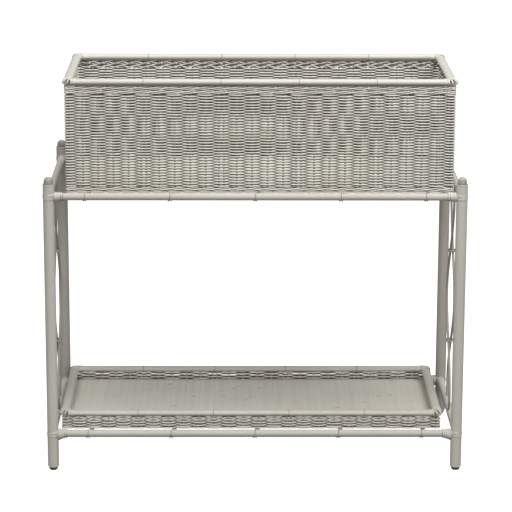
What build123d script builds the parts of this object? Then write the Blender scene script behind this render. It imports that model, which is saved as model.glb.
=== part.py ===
from build123d import *
import os

# A wicker planter on legs: a cane-wrapped dowel stand, a woven planter box that rests on
# the upper rungs, and a shallow woven tray that rests on the lower rungs.
# +X is the long way, -Y is the front, +Z is up. The origin is on the floor, under the middle.

# ---- Legs -------------------------------------------------------------------
leg_spacing_x = 762.0       # centre to centre, along the front
leg_spacing_y = 346.5       # centre to centre, front to back
core_r = 8.5                # dowel inside each leg
wrap_r = 10.5               # over the binding cane
wrap_bottom = 7.5
wrap_top = 555.0
leg_top = 567.0             # top of the domed dowel end
glide_r = 8.0               # nail-on foot glide
glide_h = 5.5
glide_edge_r = 3.5          # rounding of the glide's lower edge
glide_nail_r = 0.9
glide_nail_len = 14.0

# ---- Rails and rungs --------------------------------------------------------
upper_rail_z = 529.5
lower_rail_z = 71.4
rail_r = 6.85
rung_r = 4.0
rung_drop = 2.8             # rung centre below rail centre
tie_positions = (-315.0, -158.0, 0.0, 158.0, 315.0)
tie_r = 1.1                 # cane thickness of a lashing
tie_beside_rung = rung_r + tie_r + 0.4
collar_r = 11.3             # joint binding round a leg
collar_half_h = 12.0
flare_r = 8.9               # joint binding on a rail, where it meets the leg
flare_len = 18.0            # and how far it runs out along the rail

# ---- Bent-cane side braces --------------------------------------------------
brace_r = 2.3
brace_side_step = 2.4       # each cane's distance from the mid-plane of the side frame
brace_bow = 50.0
brace_foot_y = 40.0
brace_head_y = 56.0
brace_cross_low = 205.0     # heights where the two canes cross
brace_cross_high = 385.0
lashing_inner_r = 5.9
lashing_outer_r = 7.1
lashing_h = 5.0

# ---- Woven work, shared by the planter box and the tray ---------------------
body_length = 724.0         # over the rims
body_width = 304.0
rim_half_w = 8.5            # the rims are flat ovals, wider than they are high
rim_half_h = 5.75
wall_in = 7.25              # wall centreline inside the rim's outer edge
stake_r = 2.0
weaver_r = 1.3
post_r = 2.2                # the uprights between the bays stand in pairs
post_pair = 9.2             # centre to centre in a pair
corner_post_r = 2.4
bay_length = 143.0          # five bays along the front
pair_positions = [bay_length * n for n in (-1.5, -0.5, 0.5, 1.5)]
frame_r = 4.5               # sticks round the bottom
joint_gap = 0.05            # between a stick's hollowed end and the stick it meets
binding_skin = 1.1          # cane thickness of a corner binding
binding_leg = 16.0          # its length along each rim pole
binding_tuck = 4.0          # how far below the pole's centreline it stops
rest_gap = 0.3              # air under a body that only rests on the rungs

# ---- Planter box ------------------------------------------------------------
planter_top = 744.0
planter_play = 8.4          # it stands this far right of centre
planter_floor_t = 6.0

# ---- Tray -------------------------------------------------------------------
tray_top = 108.3
tray_play = -6.4            # it stands this far left of centre
tray_floor_t = 5.0

# ---- Worked-out values ------------------------------------------------------
leg_x = leg_spacing_x / 2
leg_y = leg_spacing_y / 2
wall_half_t = stake_r + 2 * weaver_r
corner_bulge_r = corner_post_r + 2 * weaver_r
in_pair = (-post_pair / 2, post_pair / 2)
corners = {"front_left": (-1, -1), "front_right": (1, -1), "rear_left": (-1, 1), "rear_right": (1, 1)}
levels = {"upper": upper_rail_z, "lower": lower_rail_z}

os.makedirs("parts", exist_ok=True)


def save(piece, name):
    """Label a finished piece and write it to its own file."""
    piece.part.label = name
    export_step(piece.part, f"parts/{name}.step")


def across(start, end):
    """The plane at start that faces end, for a round rod drawn between the two."""
    return Plane(origin=start, z_dir=Vector(*end) - Vector(*start))


# ==== Stand: legs ============================================================
def leg_core(name, x, y):
    """Straight dowel with a domed top and a pilot hole for the glide's nail."""
    with BuildPart() as core:
        with BuildSketch(Plane.XY.offset(glide_h)):
            with Locations((x, y)):
                Circle(core_r)
        extrude(amount=leg_top - core_r - glide_h)
        with Locations((x, y, leg_top - core_r)):
            Sphere(core_r)
        with BuildSketch(Plane.XY.offset(glide_h)):
            with Locations((x, y)):
                Circle(glide_nail_r)
        extrude(amount=glide_nail_len, mode=Mode.SUBTRACT)
    save(core, name)


def leg_wrap(name, x, y):
    """The layer of binding cane, wound from the foot to just below the dome."""
    with BuildPart() as wrap:
        with BuildSketch(Plane.XY.offset(wrap_bottom)):
            with Locations((x, y)):
                Circle(wrap_r)
                Circle(core_r, mode=Mode.SUBTRACT)
        extrude(amount=wrap_top - wrap_bottom)
    save(wrap, name)


for corner, (side_x, side_y) in corners.items():
    leg_core(f"leg_core_{corner}", side_x * leg_x, side_y * leg_y)
    leg_wrap(f"leg_wrap_{corner}", side_x * leg_x, side_y * leg_y)

# Four nail-on glides: a rounded steel cap with its nail in the end of the leg.
with BuildPart() as foot_glides:
    for side_x, side_y in corners.values():
        axis_x, axis_y = side_x * leg_x, side_y * leg_y
        with BuildSketch(Plane(origin=(axis_x, axis_y, 0), x_dir=(1, 0, 0), z_dir=(0, -1, 0))):
            with BuildLine():
                Polyline((glide_r, glide_edge_r), (glide_r, glide_h), (glide_nail_r, glide_h),
                         (glide_nail_r, glide_h + glide_nail_len), (0, glide_h + glide_nail_len),
                         (0, 0), (glide_r - glide_edge_r, 0))
                RadiusArc((glide_r - glide_edge_r, 0), (glide_r, glide_edge_r), -glide_edge_r)
            make_face()
        revolve(axis=Axis((axis_x, axis_y, 0), (0, 0, 1)))
save(foot_glides, "foot_glides")


# ==== Stand: rails and rungs =================================================
def long_rail(name, y, z):
    """Dowel along the front or the back, its ends shaped to sit against the wrapped legs."""
    with BuildPart() as rail:
        with BuildSketch(across((-leg_x, y, z), (leg_x, y, z))):
            Circle(rail_r)
        extrude(amount=leg_spacing_x)
        with Locations((-leg_x, y, z), (leg_x, y, z)):
            Cylinder(wrap_r, 4 * rail_r, mode=Mode.SUBTRACT)
    save(rail, name)


def side_rail(name, x, z):
    """Dowel from a front leg to the rear leg behind it."""
    with BuildPart() as rail:
        with BuildSketch(across((x, -leg_y, z), (x, leg_y, z))):
            Circle(rail_r)
        extrude(amount=leg_spacing_y)
        with Locations((x, -leg_y, z), (x, leg_y, z)):
            Cylinder(wrap_r, 4 * rail_r, mode=Mode.SUBTRACT)
    save(rail, name)


def rung(name, x, z):
    """Cross dowel under a body, its ends hollowed to fit the front and rear rails."""
    with BuildPart() as dowel:
        with BuildSketch(across((x, -leg_y, z), (x, leg_y, z))):
            Circle(rung_r)
        extrude(amount=leg_spacing_y)
        for rail_y in (-leg_y, leg_y):
            with BuildSketch(across((x - 2 * rung_r, rail_y, z + rung_drop),
                                    (x + 2 * rung_r, rail_y, z + rung_drop))):
                Circle(rail_r)
            extrude(amount=4 * rung_r, mode=Mode.SUBTRACT)
    save(dowel, name)


def rail_ties(name, z):
    """One turn of cane round each long rail beside every rung, with its knot underneath."""
    with BuildPart() as ties:
        for rail_y in (-leg_y, leg_y):
            for tie_x in tie_positions:
                with BuildSketch(across((tie_x - tie_r, rail_y, z), (tie_x + tie_r, rail_y, z))):
                    Circle(rail_r + 2 * tie_r)
                    Circle(rail_r, mode=Mode.SUBTRACT)
                extrude(amount=2 * tie_r)
                with Locations((tie_x, rail_y, z - rail_r - 1.5 * tie_r)):
                    Cylinder(1.8 * tie_r, 3 * tie_r)
                with BuildSketch(across((tie_x - 3 * tie_r, rail_y, z), (tie_x + 3 * tie_r, rail_y, z))):
                    Circle(rail_r)
                extrude(amount=6 * tie_r, mode=Mode.SUBTRACT)
    save(ties, name)


def joint_bindings(name, z):
    """The cane that binds both rails to each leg: a collar round the leg, flared onto the rails."""
    with BuildPart() as bindings:
        for side_x, side_y in corners.values():
            x, y = side_x * leg_x, side_y * leg_y
            with Locations((x, y, z)):
                Cylinder(collar_r, 2 * collar_half_h)
            reach = wrap_r + flare_len
            for tip in ((x - side_x * reach, y, z), (x, y - side_y * reach, z)):
                with BuildSketch(across((x, y, z), tip)):
                    Circle(flare_r)
                with BuildSketch(across(tip, (2 * tip[0] - x, 2 * tip[1] - y, z))):
                    Circle(rail_r + 2 * binding_skin / 3)
                loft()
            with BuildSketch(Plane.XY.offset(z - 2 * collar_half_h)):
                with Locations((x, y)):
                    Circle(wrap_r)
            extrude(amount=4 * collar_half_h, mode=Mode.SUBTRACT)
        for rail_y in (-leg_y, leg_y):
            with BuildSketch(across((-leg_x, rail_y, z), (leg_x, rail_y, z))):
                Circle(rail_r)
            extrude(amount=leg_spacing_x, mode=Mode.SUBTRACT)
        for rail_x in (-leg_x, leg_x):
            with BuildSketch(across((rail_x, -leg_y, z), (rail_x, leg_y, z))):
                Circle(rail_r)
            extrude(amount=leg_spacing_y, mode=Mode.SUBTRACT)
    save(bindings, name)


for level, rail_z in levels.items():
    long_rail(f"{level}_front_rail", -leg_y, rail_z)
    long_rail(f"{level}_rear_rail", leg_y, rail_z)
    side_rail(f"{level}_left_rail", -leg_x, rail_z)
    side_rail(f"{level}_right_rail", leg_x, rail_z)
    for number, tie_x in enumerate(tie_positions, start=1):
        rung(f"{level}_rung_{number}", tie_x + tie_beside_rung, rail_z - rung_drop)
    rail_ties(f"{level}_rail_ties", rail_z)
    joint_bindings(f"{level}_joint_bindings", rail_z)


# ==== Stand: bent-cane braces ================================================
def brace(name, x, facing):
    """One bent cane in a side frame, from the lower rail to the upper one.

    It bows away from its own feet in the middle, so it crosses its mirror image twice.
    """
    middle = (brace_cross_low + brace_cross_high) / 2
    quarter = (brace_cross_high - brace_cross_low) / 2
    with BuildPart() as cane:
        with BuildLine(Plane(origin=(x, 0, 0), x_dir=(0, 1, 0), z_dir=(1, 0, 0))) as line:
            Spline((facing * brace_foot_y, lower_rail_z),
                   (facing * brace_bow, middle - 2 * quarter + brace_r),
                   (0, brace_cross_low),
                   (-facing * brace_bow, middle),
                   (0, brace_cross_high),
                   (facing * brace_bow, middle + 2 * quarter - 4 * brace_r),
                   (facing * brace_head_y, upper_rail_z))
        with BuildSketch(Plane(origin=line.line @ 0, z_dir=line.line % 0)):
            Circle(brace_r)
        sweep(path=line.line)
        rail_x = leg_x if x > 0 else -leg_x
        for rail_z in levels.values():
            with BuildSketch(across((rail_x, -leg_y, rail_z), (rail_x, leg_y, rail_z))):
                Circle(rail_r)
            extrude(amount=leg_spacing_y, mode=Mode.SUBTRACT)
    save(cane, name)


for side, side_x in (("left", -1), ("right", 1)):
    brace(f"{side}_front_brace", side_x * (leg_x - brace_side_step), -1)
    brace(f"{side}_rear_brace", side_x * (leg_x + brace_side_step), 1)

# Four lashings, one round each crossing.
with BuildPart() as brace_lashings:
    for side_x in (-1, 1):
        for crossing_z in (brace_cross_low, brace_cross_high):
            with BuildSketch(Plane.XY.offset(crossing_z - lashing_h / 2)):
                with Locations((side_x * leg_x, 0)):
                    Circle(lashing_outer_r)
                    Circle(lashing_inner_r, mode=Mode.SUBTRACT)
            extrude(amount=lashing_h)
save(brace_lashings, "brace_lashings")


# ==== Woven bodies ===========================================================
def rim_pole(name, start, end, corner_in):
    """One pole of a rim, cut at 45 degrees at both ends.

    start and end are the corners of the rim's centreline, and corner_in is the middle of
    the rim, which the mitred ends face.
    """
    a, b = Vector(*start), Vector(*end)
    along = (b - a).normalized()
    inward = Vector(*corner_in) - (a + b) * 0.5
    inward = inward.normalized()
    with BuildPart() as pole:
        with BuildSketch(Plane(origin=a - along * rim_half_w, x_dir=inward, z_dir=along)):
            Ellipse(rim_half_w, rim_half_h)
        extrude(amount=(b - a).length + 2 * rim_half_w)
        split(bisect_by=Plane(origin=a, z_dir=along - inward), keep=Keep.TOP)
        split(bisect_by=Plane(origin=b, z_dir=-along - inward), keep=Keep.TOP)
    save(pole, name)


def rim(prefix, centre_x, top):
    """The four mitred poles round the top of a body, and the cane bound over each corner."""
    half_x, half_y = body_length / 2 - rim_half_w, body_width / 2 - rim_half_w
    z = top - rim_half_h
    middle = (centre_x, 0, z)
    left, right = centre_x - half_x, centre_x + half_x
    rim_pole(f"{prefix}_rim_front", (left, -half_y, z), (right, -half_y, z), middle)
    rim_pole(f"{prefix}_rim_rear", (left, half_y, z), (right, half_y, z), middle)
    rim_pole(f"{prefix}_rim_left", (left, -half_y, z), (left, half_y, z), middle)
    rim_pole(f"{prefix}_rim_right", (right, -half_y, z), (right, half_y, z), middle)
    with BuildPart() as bindings:
        for side_x, side_y in corners.values():
            x, y = centre_x + side_x * half_x, side_y * half_y
            with BuildLine() as elbow:
                Polyline((x - side_x * binding_leg, y, z), (x, y, z), (x, y - side_y * binding_leg, z))
            with BuildSketch(Plane(origin=elbow.line @ 0, x_dir=(0, side_x, 0), z_dir=(side_x, 0, 0))):
                Ellipse(rim_half_w + binding_skin, rim_half_h + binding_skin)
                Ellipse(rim_half_w, rim_half_h, mode=Mode.SUBTRACT)
                with Locations((0, -binding_tuck - rim_half_h)):
                    Rectangle(4 * rim_half_w, 2 * rim_half_h, mode=Mode.SUBTRACT)
            sweep(path=elbow.line, transition=Transition.RIGHT)
    save(bindings, f"{prefix}_corner_bindings")


def woven_body(prefix, centre_x, bottom, top, floor_t, wall_name):
    """Walls, uprights, bottom frame and floor of a rectangular woven body.

    Each wall is the solid envelope of its stakes and weavers, from the bottom frame to the
    underside of the rim. The paired uprights run in their own holes in it, and the long
    walls turn round the corner posts.
    """
    half_x, half_y = body_length / 2 - wall_in, body_width / 2 - wall_in
    uprights_x = [centre_x + x + step for x in pair_positions for step in in_pair]
    corner_x = [centre_x - half_x, centre_x + half_x]
    height = top - 2 * rim_half_h - bottom

    for side, y in (("front", -half_y), ("rear", half_y)):
        with BuildPart() as wall:
            with BuildSketch(Plane.XY.offset(bottom)):
                with Locations((centre_x, y)):
                    Rectangle(2 * half_x, 2 * wall_half_t)
                with Locations(*[(x, y) for x in corner_x]):
                    Circle(corner_bulge_r)
                    Circle(corner_post_r, mode=Mode.SUBTRACT)
                with Locations(*[(x, y) for x in uprights_x]):
                    Circle(post_r, mode=Mode.SUBTRACT)
            extrude(amount=height)
        save(wall, f"{prefix}_{wall_name}_{side}")

    for side, x in zip(("left", "right"), corner_x):
        with BuildPart() as wall:
            with BuildSketch(Plane.XY.offset(bottom)):
                with Locations((x, 0)):
                    Rectangle(2 * wall_half_t, 2 * (half_y - wall_half_t))
                with Locations(*[(x, step) for step in in_pair]):
                    Circle(post_r, mode=Mode.SUBTRACT)
                with Locations((x, -half_y), (x, half_y)):
                    Circle(corner_bulge_r, mode=Mode.SUBTRACT)
            extrude(amount=height)
        save(wall, f"{prefix}_{wall_name}_{side}")

    with BuildPart() as posts:
        with BuildSketch(Plane.XY.offset(bottom)):
            with Locations(*[(x, y) for x in uprights_x for y in (-half_y, half_y)]):
                Circle(post_r)
            with Locations(*[(x, step) for x in corner_x for step in in_pair]):
                Circle(post_r)
            with Locations(*[(x, y) for x in corner_x for y in (-half_y, half_y)]):
                Circle(corner_post_r)
        extrude(amount=height)
    save(posts, f"{prefix}_posts")

    stick_in = corner_bulge_r + frame_r
    stick_x, stick_y = half_x - stick_in, half_y - stick_in
    stick_z = bottom + frame_r
    with BuildPart() as bottom_frame:
        for side_x in (-1, 1):
            with BuildSketch(across((centre_x + side_x * stick_x, -stick_y, stick_z),
                                    (centre_x + side_x * stick_x, stick_y, stick_z))):
                Circle(frame_r)
            extrude(amount=2 * stick_y)
        for r, mode in ((frame_r + joint_gap, Mode.SUBTRACT), (frame_r, Mode.ADD)):
            for side_y in (-1, 1):
                with BuildSketch(across((centre_x - stick_x - frame_r, side_y * stick_y, stick_z),
                                        (centre_x + stick_x + frame_r, side_y * stick_y, stick_z))):
                    Circle(r)
                extrude(amount=2 * (stick_x + frame_r), mode=mode)
    save(bottom_frame, f"{prefix}_bottom_frame")

    with BuildPart() as floor:
        with BuildSketch(Plane.XY.offset(stick_z - floor_t / 2)):
            with Locations((centre_x, 0)):
                Rectangle(2 * (stick_x - frame_r), 2 * (stick_y - frame_r))
        extrude(amount=floor_t)
    save(floor, f"{prefix}_floor")


rung_top_offset = rung_r - rung_drop + rest_gap
planter_bottom = upper_rail_z + rung_top_offset
tray_bottom = lower_rail_z + rung_top_offset

rim("planter", planter_play, planter_top)
woven_body("planter", planter_play, planter_bottom, planter_top, planter_floor_t, "wall")

rim("tray", tray_play, tray_top)
woven_body("tray", tray_play, tray_bottom, tray_top, tray_floor_t, "gallery")
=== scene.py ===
# %% [markdown]
# # A wicker planter on legs
# The object is a stand of cane-wrapped dowels, a tall woven box that rests on its upper rungs
# and a shallow woven tray that rests on its lower rungs. Everything wears one old coat of
# putty-grey paint.
#
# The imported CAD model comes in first, as a fixed frame. It gives every place and size used
# below. The new pieces are then modelled round it with the tools a person uses by hand:
# primitives, edit-mode operators and modifiers.

import math
import random

import bpy
from mathutils import Euler, Matrix, Vector


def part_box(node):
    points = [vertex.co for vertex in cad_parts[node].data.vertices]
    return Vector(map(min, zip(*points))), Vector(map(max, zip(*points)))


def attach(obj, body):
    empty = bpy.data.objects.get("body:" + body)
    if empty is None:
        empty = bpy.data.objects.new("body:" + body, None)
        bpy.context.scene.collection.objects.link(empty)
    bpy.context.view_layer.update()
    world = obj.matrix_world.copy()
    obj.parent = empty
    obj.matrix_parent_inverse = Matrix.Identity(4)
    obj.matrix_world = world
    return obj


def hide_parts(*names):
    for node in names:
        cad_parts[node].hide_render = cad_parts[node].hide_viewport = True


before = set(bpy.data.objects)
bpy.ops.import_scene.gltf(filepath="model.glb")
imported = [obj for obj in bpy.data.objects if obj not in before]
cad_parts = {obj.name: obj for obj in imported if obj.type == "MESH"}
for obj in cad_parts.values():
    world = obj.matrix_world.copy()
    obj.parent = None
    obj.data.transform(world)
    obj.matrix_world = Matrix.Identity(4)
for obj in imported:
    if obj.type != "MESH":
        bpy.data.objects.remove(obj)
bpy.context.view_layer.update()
mm = 0.001
quarter_turn = math.pi / 2


def middle(node):
    """The middle of a CAD node's box."""
    low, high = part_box(node)
    return (low + high) / 2


def half_size(node):
    """Half of a CAD node's size along each axis."""
    low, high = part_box(node)
    return (high - low) / 2


# %% [markdown]
# ## Camera
# A long lens far away keeps the uprights nearly parallel, as a catalogue picture does. The
# camera could be aimed with a Track To constraint, but its place and three small angles are
# known, so its axes are worked out directly: forward, right and up become the columns of its
# matrix. It looks down on the planter by fourteen degrees.

# %% Camera
lens_mm = 164.52
camera_place = Vector((-0.04153, -4.37961, 1.47712))
look_down = 0.24686
look_right = 0.0102
camera_roll = 0.00306

forward = Vector((math.sin(look_right) * math.cos(look_down),
                  math.cos(look_right) * math.cos(look_down), -math.sin(look_down)))
level_right = Vector((math.cos(look_right), -math.sin(look_right), 0))
level_up = level_right.cross(forward)
right = level_right * math.cos(camera_roll) + level_up * math.sin(camera_roll)
up = level_up * math.cos(camera_roll) - level_right * math.sin(camera_roll)

bpy.ops.object.camera_add()
camera = bpy.context.object
camera.data.lens = lens_mm
camera.data.sensor_width = 36
camera.data.clip_end = 100
camera.matrix_world = Matrix.Translation(camera_place) @ Matrix((right, up, -forward)).transposed().to_4x4()
bpy.context.scene.camera = camera
bpy.context.scene.view_settings.view_transform = "Standard"
print("camera looks along", [round(v, 3) for v in forward])

# %% [markdown]
# ## Light
# The paint is pale and satin, so the light is broad and soft: a large panel overhead does
# most of the work, a wide panel in front lifts the legs and the weave, and the sky fills in
# the rest. Small lamps would draw hard shadows through every gap in the weave.

# %% Light


def soft_panel(name, place, aim, size, watts):
    """A large rectangular light that faces the point aim."""
    bpy.ops.object.light_add(type="AREA", location=place)
    panel = bpy.context.object
    panel.name = name
    panel.data.shape = "RECTANGLE"
    panel.data.size, panel.data.size_y = size
    panel.data.energy = watts
    panel.rotation_euler = (Vector(aim) - Vector(place)).to_track_quat("-Z", "Y").to_euler()
    return panel


soft_panel("overhead_panel", (0.3, -0.5, 3.2), (0, 0, 0.4), (3.0, 2.4), 88)
soft_panel("front_panel", (0.5, -4.0, 1.9), (0, 0, 0.35), (2.6, 1.6), 57)

world = bpy.data.worlds.new("studio_air")
bpy.context.scene.world = world
world.use_nodes = True
world.node_tree.nodes["Background"].inputs["Color"].default_value = (1.0, 1.0, 1.0, 1)
world.node_tree.nodes["Background"].inputs["Strength"].default_value = 0.30

# %% [markdown]
# ## Floor
# A plain pale floor is all that surrounds the planter. A single plane is enough, as the
# camera looks down and never sees its far edge. Seen directly it is pure white, as in a
# cut-out, which also hides the planter's own shadow. To the planter it is a dull grey, so
# little light comes back up under the rails.

# %% Floor
bpy.ops.object.select_all(action="DESELECT")
bpy.ops.mesh.primitive_plane_add(size=60)
floor = bpy.context.object
floor.name = "studio_floor"
floor_paint = bpy.data.materials.new("studio_floor_white")
floor_paint.use_nodes = True
tree = floor_paint.node_tree
tree.nodes.clear()
output = tree.nodes.new("ShaderNodeOutputMaterial")
lit = tree.nodes.new("ShaderNodeBsdfDiffuse")
lit.inputs["Color"].default_value = (0.32, 0.32, 0.31, 1)
shown = tree.nodes.new("ShaderNodeEmission")
shown.inputs["Color"].default_value = (1, 1, 1, 1)
shown.inputs["Strength"].default_value = 1.0
both = tree.nodes.new("ShaderNodeAddShader")
choose = tree.nodes.new("ShaderNodeMixShader")
ray = tree.nodes.new("ShaderNodeLightPath")
tree.links.new(lit.outputs[0], both.inputs[0])
tree.links.new(shown.outputs[0], both.inputs[1])
tree.links.new(ray.outputs["Is Camera Ray"], choose.inputs[0])
tree.links.new(lit.outputs[0], choose.inputs[1])
tree.links.new(both.outputs[0], choose.inputs[2])
tree.links.new(choose.outputs[0], output.inputs["Surface"])
floor.data.materials.append(floor_paint)

# %% [markdown]
# ## Paint
# All the cane, reed and dowel wears the same thick putty-grey paint, brushed and sprayed on
# more than once. It isn't one flat colour: it is a little greener or pinker in patches, the
# fibres of the cane show through it as fine streaks along each pole, and brush marks break up
# its sheen. The undersides and the faces that look back into a woven wall are darkened as
# painted shade, for the shadow under each pole and inside the weave. One function builds the
# whole recipe. Each part then sets the direction of its streaks and a shade of its own, which
# makes lighter and darker copies of the one paint: painted light and painted shade for how much
# light the part catches.

# %% Paint
paint_light = (0.640, 0.625, 0.560)
paint_warm = (0.610, 0.580, 0.515)
paint_green = (0.590, 0.590, 0.510)
dust = (0.235, 0.215, 0.175)
# The dark colour that the painted shade fades to, in the weave's gaps and on undersides.
painted_shade_colour = (0.058, 0.050, 0.037)


def painted(name, along="X", shade=1.0, streak=0.5, bump=0.25, depth=None, under=0.0, rough=(0.42, 0.62)):
    """Satin paint over cane whose fibres run along one axis.

    depth is (axis, centre, half), for a woven wall that thick about the plane at centre: what
    faces out of the wall keeps the paint's colour, and what faces back into it is darkened,
    painted shade for the shadow inside the weave.
    under is how much the undersides are darkened: painted shade for the shadow beneath them.
    """
    paint = bpy.data.materials.new(name)
    paint.use_nodes = True
    nodes, links = paint.node_tree.nodes, paint.node_tree.links
    shader = nodes["Principled BSDF"]
    where = nodes.new("ShaderNodeTexCoord").outputs["Object"]

    def noise(scale, detail, stretch=None):
        source = where
        if stretch:
            mapping = nodes.new("ShaderNodeMapping")
            mapping.inputs["Scale"].default_value = stretch
            links.new(where, mapping.inputs["Vector"])
            source = mapping.outputs["Vector"]
        texture = nodes.new("ShaderNodeTexNoise")
        texture.inputs["Scale"].default_value = scale
        texture.inputs["Detail"].default_value = detail
        links.new(source, texture.inputs["Vector"])
        return texture.outputs["Fac"]

    def spread(value, low, high, to_low=0.0, to_high=1.0):
        ranged = nodes.new("ShaderNodeMapRange")
        for socket, number in zip(("From Min", "From Max", "To Min", "To Max"), (low, high, to_low, to_high)):
            ranged.inputs[socket].default_value = number
        links.new(value, ranged.inputs["Value"])
        return ranged.outputs["Result"]

    def mixed(factor, first, second):
        mix = nodes.new("ShaderNodeMix")
        mix.data_type = "RGBA"
        links.new(factor, mix.inputs["Factor"])
        for socket, colour in ((mix.inputs["A"], first), (mix.inputs["B"], second)):
            if isinstance(colour, tuple):
                socket.default_value = (*[c * shade for c in colour], 1)
            else:
                links.new(colour, socket)
        return mix.outputs["Result"]

    lengthwise = {axis: 40 if axis == along else 900 for axis in "XYZ"}
    fibres = noise(1.0, 5, (lengthwise["X"], lengthwise["Y"], lengthwise["Z"]))
    patches = noise(14, 3)
    clouds = noise(5, 2)
    brushed = noise(420, 4)

    colour = mixed(spread(clouds, 0.35, 0.65), paint_light, paint_warm)
    colour = mixed(spread(patches, 0.5, 0.8, 0, 0.6), colour, paint_green)
    colour = mixed(spread(fibres, 0.55, 0.85, 0, 0.35 * streak), colour, dust)
    # Painted shade: faces that turn back into a woven wall go dark.
    if depth:
        axis, centre, half = depth
        split = nodes.new("ShaderNodeSeparateXYZ")
        links.new(where, split.inputs["Vector"])
        away = nodes.new("ShaderNodeMath")
        away.operation = "SUBTRACT"
        away.inputs[1].default_value = centre
        links.new(split.outputs[axis], away.inputs[0])
        facing_away = nodes.new("ShaderNodeSeparateXYZ")
        links.new(nodes.new("ShaderNodeNewGeometry").outputs["Normal"], facing_away.inputs["Vector"])
        outward = nodes.new("ShaderNodeMath")
        outward.operation = "MULTIPLY"
        links.new(away.outputs[0], outward.inputs[0])
        links.new(facing_away.outputs[axis], outward.inputs[1])
        colour = mixed(spread(outward.outputs[0], -0.2 * half, 0.4 * half, 0.92, 0.0), colour, painted_shade_colour)
    # Painted shade: faces that look downwards go dark.
    if under:
        facing = nodes.new("ShaderNodeSeparateXYZ")
        links.new(nodes.new("ShaderNodeNewGeometry").outputs["Normal"], facing.inputs["Vector"])
        colour = mixed(spread(facing.outputs["Z"], -0.7, 0.0, under, 0.0), colour, painted_shade_colour)
    links.new(colour, shader.inputs["Base Color"])
    links.new(spread(brushed, 0.3, 0.7, *rough), shader.inputs["Roughness"])

    fine = nodes.new("ShaderNodeBump")
    fine.inputs["Strength"].default_value = bump
    fine.inputs["Distance"].default_value = 0.25 * mm
    links.new(fibres, fine.inputs["Height"])
    coarse = nodes.new("ShaderNodeBump")
    coarse.inputs["Strength"].default_value = bump * 0.6
    coarse.inputs["Distance"].default_value = 0.4 * mm
    links.new(noise(160, 3), coarse.inputs["Height"])
    links.new(fine.outputs["Normal"], coarse.inputs["Normal"])
    links.new(coarse.outputs["Normal"], shader.inputs["Normal"])
    return paint


# The rails, rungs and other dowels share these paints, with painted shade on their undersides.
paints = {axis: painted(f"paint_along_{axis.lower()}", along=axis, shade=0.93, under=0.4) for axis in "XYZ"}
print("paints:", len(paints))

# %% [markdown]
# ## Working by hand, in code
# A few small helpers stand for what the hands do all the time: put everything down, join, copy
# and place pieces, apply a modifier, and finish a piece. A piece is finished when its place is
# in its mesh, its faces look outwards, its curved faces are smooth, and it has its paint and the
# body of the planter that it moves with.

# %% Helpers


def nothing_selected():
    """An operator acts on all that is selected, so everything is put down first."""
    bpy.ops.object.select_all(action="DESELECT")


def only(piece):
    """Makes one piece the selected and active one."""
    nothing_selected()
    piece.select_set(True)
    bpy.context.view_layer.objects.active = piece


def joined(pieces):
    """Several objects made into one."""
    nothing_selected()
    for piece in pieces:
        piece.select_set(True)
    bpy.context.view_layer.objects.active = pieces[0]
    if len(pieces) > 1:
        bpy.ops.object.join()
    return bpy.context.object


def copy_of(piece):
    """A second object with its own mesh."""
    twin = piece.copy()
    twin.data = piece.data.copy()
    bpy.context.scene.collection.objects.link(twin)
    return twin


def place(piece, at=(0, 0, 0), turn=(0, 0, 0), size=(1, 1, 1)):
    """Sizes, turns and moves a piece, and puts that into its mesh."""
    only(piece)
    piece.matrix_world = Matrix.LocRotScale(Vector(at), Euler(turn), Vector(size)) @ piece.matrix_world
    bpy.ops.object.transform_apply(location=True, rotation=True, scale=True)
    return piece


def applied(piece, kind, **settings):
    """Adds a modifier with these settings and applies it."""
    only(piece)
    modifier = piece.modifiers.new(kind.title(), kind)
    for setting, value in settings.items():
        setattr(modifier, setting, value)
    bpy.ops.object.modifier_apply(modifier=modifier.name)
    return piece


def finished(piece, name, paint, finish, body, *nodes, crease=40):
    """Names a piece, tidies its mesh, paints it and hangs it on its body."""
    only(piece)
    bpy.ops.object.transform_apply(location=True, rotation=True, scale=True)
    bpy.ops.object.mode_set(mode="EDIT")
    bpy.ops.mesh.select_all(action="SELECT")
    bpy.ops.mesh.remove_doubles(threshold=0.002 * mm)
    bpy.ops.mesh.normals_make_consistent(inside=False)
    bpy.ops.object.mode_set(mode="OBJECT")
    bpy.ops.object.shade_smooth_by_angle(angle=math.radians(crease))
    piece.name = name
    piece.data.name = name
    piece.data.materials.clear()
    piece.data.materials.append(paint)
    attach(piece, body)
    if nodes:
        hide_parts(*nodes)
    print(f"{name}: {sum(len(f.vertices) - 2 for f in piece.data.polygons)} triangles")
    return piece

# %% [markdown]
# ## Where everything stands
# The legs, rails and boxes are already in the frame, so their places are asked for rather
# than typed in. Only the sizes that a plain CAD solid can't hold, such as a strand's
# thickness or the width of a binding cane, are named here.

# %% Places from the frame
corners = {"front_left": (-1, -1), "front_right": (1, -1), "rear_left": (-1, 1), "rear_right": (1, 1)}
levels = ("upper", "lower")
leg_at = {corner: middle(f"leg_wrap_{corner}") for corner in corners}
leg_radius = half_size("leg_wrap_front_left").x
rail_radius = half_size("upper_front_rail").z
rail_height = {level: middle(f"{level}_front_rail").z for level in levels}
tie_places = [middle(f"upper_rung_{n}").x - 5.5 * mm for n in range(1, 6)]
rim_half = {prefix: (half_size(f"{prefix}_rim_front").y, half_size(f"{prefix}_rim_front").z)
            for prefix in ("planter", "tray")}
print("leg radius", round(leg_radius / mm, 2), "rail radius", round(rail_radius / mm, 2), "rims",
      {k: [round(v / mm, 2) for v in sizes] for k, sizes in rim_half.items()})

# %% [markdown]
# ## Wrapped poles
# Each leg and rail is a dowel wound from end to end with flat binding cane, edge to edge, so
# that only a fine seam shows under the paint. Rings stacked on a cylinder would be near
# enough, but a winding climbs, and the Screw modifier makes exactly that: one cane's crowned
# profile is turned round the pole and lifted by its own width each turn. The ends are then
# trimmed square with Bisect, as a knife would.

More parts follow.
